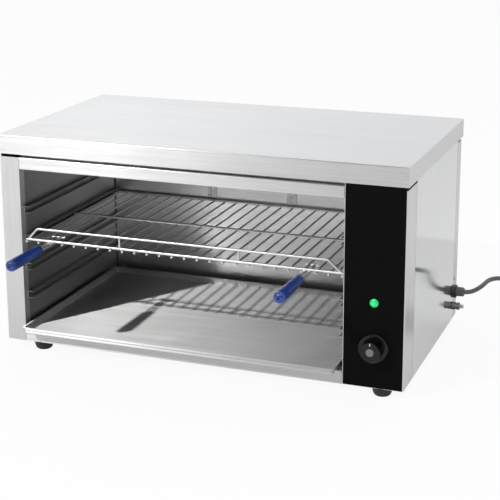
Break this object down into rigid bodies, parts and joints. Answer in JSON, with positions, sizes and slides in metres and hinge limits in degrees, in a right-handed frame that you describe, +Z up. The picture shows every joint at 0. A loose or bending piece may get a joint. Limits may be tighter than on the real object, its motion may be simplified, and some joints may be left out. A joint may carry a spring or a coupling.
{
  "type": "electric salamander grill",
  "caption": "Countertop electric cheese melter: stainless cabinet with an open cavity, sliding wire rack with two grips, crumb tray, thermostat knob, lamp and mains cord.",
  "frame": {"origin": "on the surface the feet stand on, under the middle of the overall width (top cover's left edge to the bonding stud's tip) and of the overall depth (handle tips to the top cover's rear edge)", "axes": "+X to the user's right, +Y to the back, +Z up; the open front faces -Y"},
  "size_m": [0.8148, 0.4899, 0.325],
  "materials": {
    "brushed stainless": "satin",
    "cavity stainless": "satin",
    "rack wire": "polished",
    "element sheath": "dull",
    "black fascia": "satin",
    "black knob": "semi-gloss",
    "knob disc": "satin",
    "green lens": "gloss",
    "blue grip": "gloss",
    "black rubber": "matte",
    "cord rubber": "satin",
    "black nylon": "matte",
    "plated fasteners": "bright",
    "insulation": "matte",
    "thermostat case": "plain",
    "terminal plastic": "matte"
  },
  "bodies": {
    "cabinet": {"base_pan": "brushed stainless", "bonding_nuts": "plated fasteners", "bonding_stud": "plated fasteners", "cavity_floor": "cavity stainless", "ceiling_liner": "cavity stainless", "control_column": "brushed stainless", "control_fascia": "black fascia", "cord_coil": "cord rubber", "element_strap_left": "cavity stainless", "element_strap_right": "cavity stainless", "foot_front_left": "black rubber", "foot_front_right": "black rubber", "foot_rear_left": "black rubber", "foot_rear_right": "black rubber", "foot_screws": "plated fasteners", "front_lintel": "brushed stainless", "front_sill": "brushed stainless", "gland_body": "black nylon", "gland_cap": "black nylon", "heating_element_front": "element sheath", "heating_element_rear": "element sheath", "insulation_left": "insulation", "insulation_rear": "insulation", "insulation_right": "insulation", "insulation_top": "insulation", "lamp_body": "terminal plastic", "lamp_lens": "green lens", "left_liner": "cavity stainless", "left_runner_1": "cavity stainless", "left_runner_2": "cavity stainless", "left_runner_3": "cavity stainless", "left_runner_4": "cavity stainless", "left_side_panel": "brushed stainless", "plug": "black rubber", "power_cord": "cord rubber", "rear_liner": "cavity stainless", "rear_panel": "brushed stainless", "rear_panel_screws": "plated fasteners", "right_liner": "cavity stainless", "right_runner_1": "cavity stainless", "right_runner_2": "cavity stainless", "right_runner_3": "cavity stainless", "right_runner_4": "cavity stainless", "right_side_panel": "brushed stainless", "terminal_block": "terminal plastic", "thermostat_body": "thermostat case", "top_cover": "brushed stainless"},
    "rack": {"wire_rack": "rack wire", "left_handle_grip": "blue grip", "right_handle_grip": "blue grip"},
    "tray": {"crumb_tray": "cavity stainless"},
    "knob": {"thermostat_knob": "black knob", "knob_disc": "knob disc", "thermostat_shaft": "plated fasteners"}
  },
  "joints": [
    {"name": "rack_slide", "type": "slide", "parent": "cabinet", "child": "rack", "axis": [0, -1, 0], "range_m": [0, 0.25]},
    {"name": "tray_slide", "type": "slide", "parent": "cabinet", "child": "tray", "axis": [0, -1, 0], "range_m": [0, 0.26]},
    {"name": "knob_turn", "type": "hinge", "parent": "cabinet", "child": "knob", "pos_m": [0.253, -0.113, 0.071], "axis": [0, 1, 0], "range_deg": [0, 270]}
  ]
}
